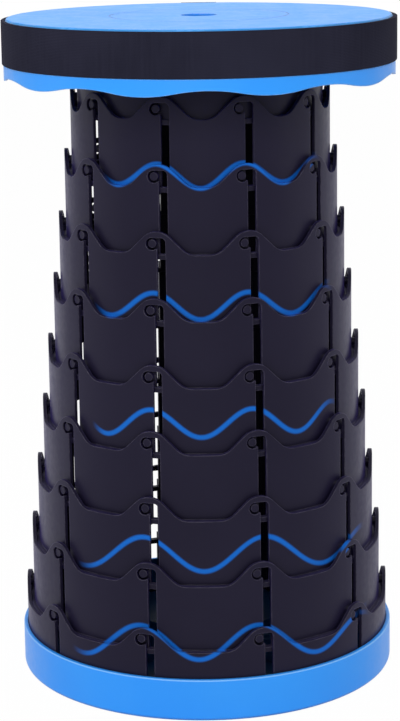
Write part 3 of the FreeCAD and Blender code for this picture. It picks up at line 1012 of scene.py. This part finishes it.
@dataclass(frozen=True)
class StitchTree:
    """The tree that lays small arched stitches along lines on the strap."""

    arch_points: int = 6
    thread_sides: int = 8
    shortest: float = 0.88
    longest: float = 1.08

    def write(self) -> NodeSweep:
        """Write the tree.

        Returns:
            The tree, with inputs Pitch, Length, Height, Radius, Seed and Material.
        """
        sweep = NodeSweep(
            "stitch_rows",
            {
                "Pitch": "NodeSocketFloat",
                "Length": "NodeSocketFloat",
                "Height": "NodeSocketFloat",
                "Radius": "NodeSocketFloat",
                "Seed": "NodeSocketInt",
                "Material": "NodeSocketMaterial",
            },
        )
        graph, step, given = sweep.graph, sweep.step, sweep.given
        rows = step("GeometryNodeMeshToCurve", {"Mesh": given["Geometry"]})
        points = graph.add("GeometryNodeCurveToPoints", mode="LENGTH")
        graph.link(rows, points.inputs["Curve"])
        graph.link(given["Pitch"], points.inputs["Length"])

        half = graph.math("MULTIPLY", given["Length"], 0.5)
        start, end = (
            step("ShaderNodeCombineXYZ", {0: graph.math("MULTIPLY", half, way)})
            for way in (-1.0, 1.0)
        )
        top = step("ShaderNodeCombineXYZ", {2: given["Height"]})
        arch = step(
            "GeometryNodeCurveQuadraticBezier",
            {"Resolution": self.arch_points, "Start": start, "Middle": top, "End": end},
        )
        ring = step(
            "GeometryNodeCurvePrimitiveCircle",
            {"Resolution": self.thread_sides, "Radius": given["Radius"]},
        )
        thread = step(
            "GeometryNodeCurveToMesh", {"Fill Caps": True, "Curve": arch, "Profile Curve": ring}
        )

        level = step(
            "ShaderNodeVectorMath",
            {0: step("GeometryNodeInputPosition", {}), 1: (1.0, 1.0, 0.0)},
            operation="MULTIPLY",
        )
        outward = step("FunctionNodeAlignRotationToVector", {"Vector": level}, axis="Z")
        lying = step(
            "FunctionNodeAlignRotationToVector",
            {"Rotation": outward, "Vector": points.outputs["Tangent"]},
            axis="X",
            pivot_axis="Z",
        )
        uneven = step(
            "FunctionNodeRandomValue",
            {RANDOM_LOW: self.shortest, RANDOM_HIGH: self.longest, "Seed": given["Seed"]},
            RANDOM_RESULT,
            data_type="FLOAT",
        )
        laid = step(
            "GeometryNodeInstanceOnPoints",
            {
                "Points": points.outputs["Points"],
                "Instance": thread,
                "Rotation": lying,
                "Scale": uneven,
            },
        )
        sweep.close(laid)
        return sweep


@dataclass
class Strap:
    """Webbing strap round the seat, sewn back on itself at each side of its slider.

    to_bar and over_bar list the points of an end where it rises from the strap and where it
    goes over the slider's bar, as height above the strap or the bar and distance from the
    slider's middle, in millimetres.
    """

    bore: float = 131.2 * MM
    thickness: float = 1.3 * MM
    foot: float = 419.9 * MM
    width: float = 28.6 * MM
    path_steps: int = 360
    slider_outer: float = 133.7 * MM
    gap_angle: float = 5.8
    fold_thickness: float = 1.1 * MM
    fold_width: float = 27.8 * MM
    fold_length: float = 40.0 * MM
    fold_lift: float = 0.05 * MM
    flat_points: int = 17
    flat_step: float = 1.5
    to_bar: tuple[Pair, ...] = ((0.15, 14.6), (0.6, 13.5))
    over_bar: tuple[Pair, ...] = (
        (0.0, 12.4), (0.0, 11.0), (0.0, 9.9), (-0.35, 8.9), (-1.1, 8.25), (-1.9, 8.1), (-2.4, 8.3)
    )
    hem_inner: float = 129.6 * MM
    hem_foot: float = 448.34 * MM
    hem_height: float = 0.45 * MM
    box_start: float = 19.0 * MM
    box_margin: float = 3.0 * MM
    box_steps: int = 12
    stitch_lift: float = 0.08 * MM
    stitch_pitch: float = 2.3 * MM
    stitch_length: float = 1.9 * MM
    stitch_height: float = 0.5 * MM
    thread_radius: float = 0.22 * MM
    stitch_seed: int = 7

    def at(self, radius: float, run: float, height: float = 0.0) -> Vector:
        """Place a point by its distance along the strap from the middle of the slider.

        Args:
            radius: distance from the axis in metres.
            run: distance along the strap, positive towards the left seen from the front.
            height: height above the middle of the strap.

        Returns:
            The point.
        """
        angle = math.radians(90) + run / (self.bore + self.thickness)
        middle = self.foot + self.width / 2
        return Vector((radius * math.cos(angle), radius * math.sin(angle), middle + height))

    def round_line(self, radius: float, height: float) -> list[Vector]:
        """List the points of a level line round the seat, from the slider to the slider.

        Args:
            radius: radius of the line.
            height: height of the line above the floor.

        Returns:
            The points.
        """
        points = []
        for step in range(self.path_steps + 1):
            share = step / self.path_steps
            angle = math.radians(90 + self.gap_angle + (360 - 2 * self.gap_angle) * share)
            points.append(Vector((radius * math.cos(angle), radius * math.sin(angle), height)))
        return points

    def fold_line(self, side: Side) -> list[Vector]:
        """List the points of one strap end, sewn on the strap, over a bar and into the slider.

        Args:
            side: which end.

        Returns:
            The points.
        """
        middle = self.fold_thickness / 2
        lying = self.bore + self.thickness + middle + self.fold_lift
        over = self.slider_outer + middle + self.fold_lift
        line = [
            (lying, self.fold_length - step * self.flat_step * MM)
            for step in range(self.flat_points)
        ]
        line += [(lying + rise * MM, run * MM) for rise, run in self.to_bar]
        line += [(over + rise * MM, run * MM) for rise, run in self.over_bar]
        return [self.at(radius, side.value * run) for radius, run in line]

    def stitch_lines(self, side: Side) -> list[list[Vector]]:
        """List the lines of one sewn box with its cross.

        Args:
            side: which end.

        Returns:
            The lines.
        """
        radius = self.bore + self.thickness + self.fold_thickness + self.stitch_lift
        near, far = self.box_start, self.fold_length - self.box_margin
        reach = self.fold_width / 2 - self.box_margin
        corners = [(near, -reach), (far, -reach), (far, reach), (near, reach), (near, -reach)]
        sides = list(zip(corners, corners[1:]))
        cross = [(corners[0], corners[2]), (corners[1], corners[3])]
        lines = []
        for (run, up), (next_run, next_up) in sides + cross:
            line = []
            for step in range(self.box_steps + 1):
                along = run + (next_run - run) * step / self.box_steps
                height = up + (next_up - up) * step / self.box_steps
                line.append(self.at(radius, side.value * along, height))
            lines.append(line)
        return lines

    def build(self) -> None:
        """Make the band, its thin top edge, its two sewn ends and their stitches."""
        webbing = WovenWebbing().make()
        thread = Thread().make()
        bands, rows = BandTree().write(), StitchTree().write()
        outer = self.bore + self.thickness
        band = bands.run(
            "strap_band",
            [self.round_line(self.bore + self.thickness / 2, self.foot + self.width / 2)],
            {"Width": self.width, "Thickness": self.thickness, "Material": webbing},
        )
        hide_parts("strap_webbing")
        hem_line = self.round_line(
            (self.hem_inner + outer) / 2, self.hem_foot + self.hem_height / 2
        )
        hem = bands.run(
            "strap_hem",
            [hem_line],
            {
                "Width": self.hem_height,
                "Thickness": outer - self.hem_inner,
                "Material": webbing,
            },
        )
        pieces = [band, hem]
        for side in Side:
            name = side.name.lower()
            fold = bands.run(
                f"strap_end_{name}",
                [self.fold_line(side)],
                {"Width": self.fold_width, "Thickness": self.fold_thickness, "Material": webbing},
            )
            sewing = rows.run(
                f"strap_stitches_{name}",
                self.stitch_lines(side),
                {
                    "Pitch": self.stitch_pitch,
                    "Length": self.stitch_length,
                    "Height": self.stitch_height,
                    "Radius": self.thread_radius,
                    "Seed": self.stitch_seed + side.value,
                    "Material": thread,
                },
            )
            pieces += [fold, sewing]
        for piece in pieces:
            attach(piece, "seat")
        dress("strap_slider", SLIDER_PLASTIC.make())


@dataclass(frozen=True)
class Softbox:
    """One soft rectangular lamp. Sizes are in metres and the power in watts."""

    name: str
    place: Triple
    target: Triple
    width: float
    height: float
    power: float

    def hang(self) -> None:
        """Hang the lamp, facing its target."""
        light = bpy.data.lights.new(self.name, "AREA")
        light.shape = "RECTANGLE"
        light.size, light.size_y, light.energy = self.width, self.height, self.power
        lamp = bpy.data.objects.new(self.name, light)
        lamp.location = self.place
        aim = Vector(self.target) - Vector(self.place)
        lamp.rotation_euler = aim.to_track_quat("-Z", "Y").to_euler()
        bpy.context.scene.collection.objects.link(lamp)


SOFTBOXES = (
    Softbox("key_softbox", (-0.30, -1.65, 1.20), (0.0, 0.0, 0.22), 1.0, 0.9, 17.5),
    Softbox("left_strip", (-1.25, -0.15, 0.65), (0.0, 0.0, 0.25), 0.35, 1.3, 1.5),
    Softbox("right_strip", (1.25, -0.15, 0.65), (0.0, 0.0, 0.25), 0.35, 1.3, 1.5),
    Softbox("top_softbox", (0.0, 0.25, 1.5), (0.0, 0.0, 0.45), 1.2, 1.2, 7.5),
)


@dataclass
class Studio:
    """Pale floor, soft lamps, white surroundings and the camera of the photograph.

    distance and height place the camera in metres, pitch and roll turn it in degrees, and
    focal and the centre are in pixels of the photograph.
    """

    distance: float = 1.433
    height: float = 0.549
    pitch: float = 11.33
    roll: float = 0.78
    focal: float = 2126.0
    centre_x: float = 202.6
    centre_y: float = 290.0
    sensor: float = 36.0
    clip: Pair = (0.05, 50.0)
    floor_reach: float = 6.0
    floor_colour: Colour = (0.8, 0.8, 0.81)
    floor_glow: float = 0.985
    surround_light: float = 0.45

    def build(self) -> None:
        """Make the floor, the world, the lamps and the camera."""
        self.floor()
        self.world()
        for softbox in SOFTBOXES:
            softbox.hang()
        self.camera()

    def floor(self) -> None:
        """Make the floor, which shows white to the camera and keeps a soft shadow."""
        far = self.floor_reach
        corners = [(-far, -far, 0), (far, -far, 0), (far, far, 0), (-far, far, 0)]
        mesh = bpy.data.meshes.new("floor")
        mesh.from_pydata(corners, [], [(0, 1, 2, 3)])
        floor = bpy.data.objects.new("floor", mesh)
        bpy.context.scene.collection.objects.link(floor)
        material, graph = new_material("pale_floor")
        diffuse = graph.add("ShaderNodeBsdfDiffuse")
        graph.feed(diffuse.inputs["Color"], self.floor_colour)
        glow = graph.add("ShaderNodeEmission")
        mix = graph.add("ShaderNodeMixShader")
        graph.link(graph.math("MULTIPLY", self.seen(graph), self.floor_glow), mix.inputs[0])
        graph.link(diffuse.outputs[0], mix.inputs[1])
        graph.link(glow.outputs[0], mix.inputs[2])
        out = graph.add("ShaderNodeOutputMaterial")
        graph.link(mix.outputs[0], out.inputs["Surface"])
        mesh.materials.append(material)

    @staticmethod
    def seen(graph: Graph) -> Socket:
        """Find whether a ray shows its end to the camera, directly, mirrored or through glass.

        Args:
            graph: the writer of the tree.

        Returns:
            1 for such a ray, else 0.
        """
        rays = graph.add("ShaderNodeLightPath").outputs
        seen = graph.math("MAXIMUM", rays["Is Camera Ray"], rays["Is Glossy Ray"])
        return graph.math("MAXIMUM", seen, rays["Is Transmission Ray"])

    def world(self) -> None:
        """Surround the object with white that lights it only softly."""
        world = bpy.data.worlds.new("white_surroundings")
        bpy.context.scene.world = world
        world.use_nodes = True
        graph = Graph(world.node_tree)
        back = graph.add("ShaderNodeBackground")
        graph.feed(back.inputs["Color"], (1.0, 1.0, 1.0))
        light = self.surround_light
        strength = graph.math("MULTIPLY_ADD", self.seen(graph), 1.0 - light, light)
        graph.link(strength, back.inputs["Strength"])
        out = graph.add("ShaderNodeOutputWorld")
        graph.link(back.outputs[0], out.inputs["Surface"])

    def camera(self) -> None:
        """Set the camera where the photograph was taken from."""
        data = bpy.data.cameras.new("camera")
        data.sensor_width = self.sensor
        data.lens = self.focal / PHOTO_HEIGHT * self.sensor
        data.shift_x = (PHOTO_WIDTH / 2 - self.centre_x) / PHOTO_HEIGHT
        data.shift_y = (self.centre_y - PHOTO_HEIGHT / 2) / PHOTO_HEIGHT
        data.clip_start, data.clip_end = self.clip
        camera = bpy.data.objects.new("camera", data)
        tilt = Matrix.Rotation(math.radians(90 - self.pitch), 4, "X")
        lean = Matrix.Rotation(-math.radians(self.roll), 4, "Z")
        stand = Matrix.Translation((0, -self.distance, self.height))
        camera.matrix_world = stand @ tilt @ lean
        bpy.context.scene.collection.objects.link(camera)
        bpy.context.scene.camera = camera


def main() -> None:
    """Build the stool's sub-assemblies and the studio in order."""
    logging.basicConfig(level=logging.INFO, format="%(name)s %(message)s")
    bpy.context.scene.view_settings.view_transform = "Standard"
    Studio().build()
    Base().build()
    RingStack(accents=ACCENT_LINES).build()
    Seat().build()
    Strap().build()


if __name__ == "__main__":
    main()
